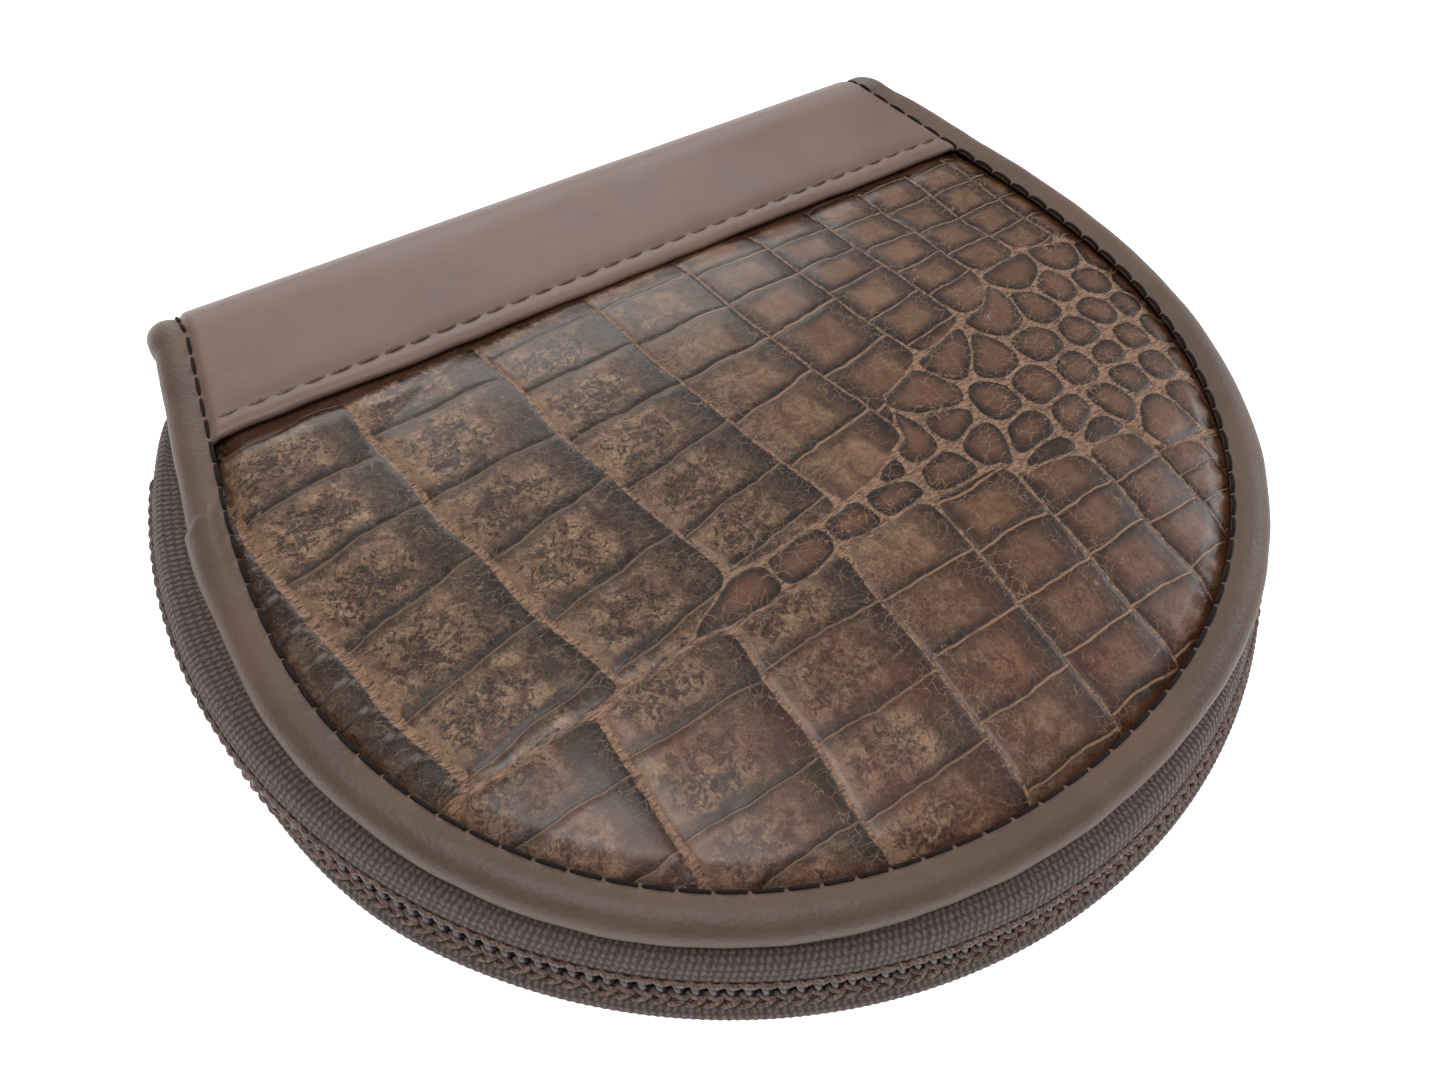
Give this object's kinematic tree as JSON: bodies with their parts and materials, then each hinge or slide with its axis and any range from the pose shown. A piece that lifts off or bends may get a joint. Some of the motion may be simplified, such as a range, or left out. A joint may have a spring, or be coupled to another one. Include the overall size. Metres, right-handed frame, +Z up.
{
  "type": "zippered pouch",
  "caption": "Rounded leather pouch with scaled panels, a plain leather spine, rolled edge binding and a zip round three sides.",
  "frame": {"origin": "centre of the footprint of the closed pouch, on the surface it rests on", "axes": "+X along the spine, +Y from the rounded nose to the spine, +Z up through the lid"},
  "size_m": [0.1053, 0.0894, 0.016],
  "materials": {
    "scale_leather": "glossy glazed scaled leather, dark edges to the scales and tan grooves",
    "plain_leather": "smooth brown leather with a soft sheen",
    "binding_leather": "smooth olive-brown leather rolled edge",
    "lining_leather": "matt brown lining leather",
    "foam": "soft polyurethane foam, not seen",
    "board": "grey-brown fibre board, not seen",
    "thread_dark": "near-black sewing thread",
    "thread_olive": "olive-brown sewing thread",
    "tape": "woven taupe zip tape",
    "nylon": "grey-brown nylon coil",
    "slider_metal": "antiqued brass"
  },
  "bodies": {
    "base": {"base_scale_panel": "scale_leather", "base_padding": "foam", "base_stiffener": "board", "base_lining": "lining_leather", "base_spine_backing": "board", "base_spine_strip": "plain_leather", "base_binding": "binding_leather", "base_binding_stitches": "thread_dark", "base_strip_stitches": "thread_olive", "base_zip_tape": "tape", "base_zip_coil": "nylon"},
    "lid": {"lid_scale_panel": "scale_leather", "lid_padding": "foam", "lid_stiffener": "board", "lid_lining": "lining_leather", "lid_spine_backing": "board", "lid_spine_strip": "plain_leather", "lid_binding": "binding_leather", "lid_binding_stitches": "thread_dark", "lid_strip_stitches": "thread_olive", "lid_zip_tape": "tape", "lid_zip_coil": "nylon", "lid_slip_pocket": "lining_leather"},
    "slider": {"slider_body": "slider_metal", "slider_bail": "slider_metal"},
    "pull": {"pull_tab": "slider_metal"}
  },
  "joints": [
    {"name": "lid_fold", "type": "hinge", "parent": "base", "child": "lid", "pos_m": [0, 0.0447, 0.0076], "axis": [-1, 0, 0], "range_deg": [0, 100]},
    {"name": "zip_travel", "type": "hinge", "parent": "base", "child": "slider", "pos_m": [0, 0.0079, 0.0076], "axis": [0, 0, 1], "range_deg": [-231.2, 0]},
    {"name": "pull_swing", "type": "hinge", "parent": "slider", "child": "pull", "pos_m": [0.05041, 0.02847, 0.0076], "axis": [0, 0, -1], "range_deg": [-2, 153]}
  ]
}
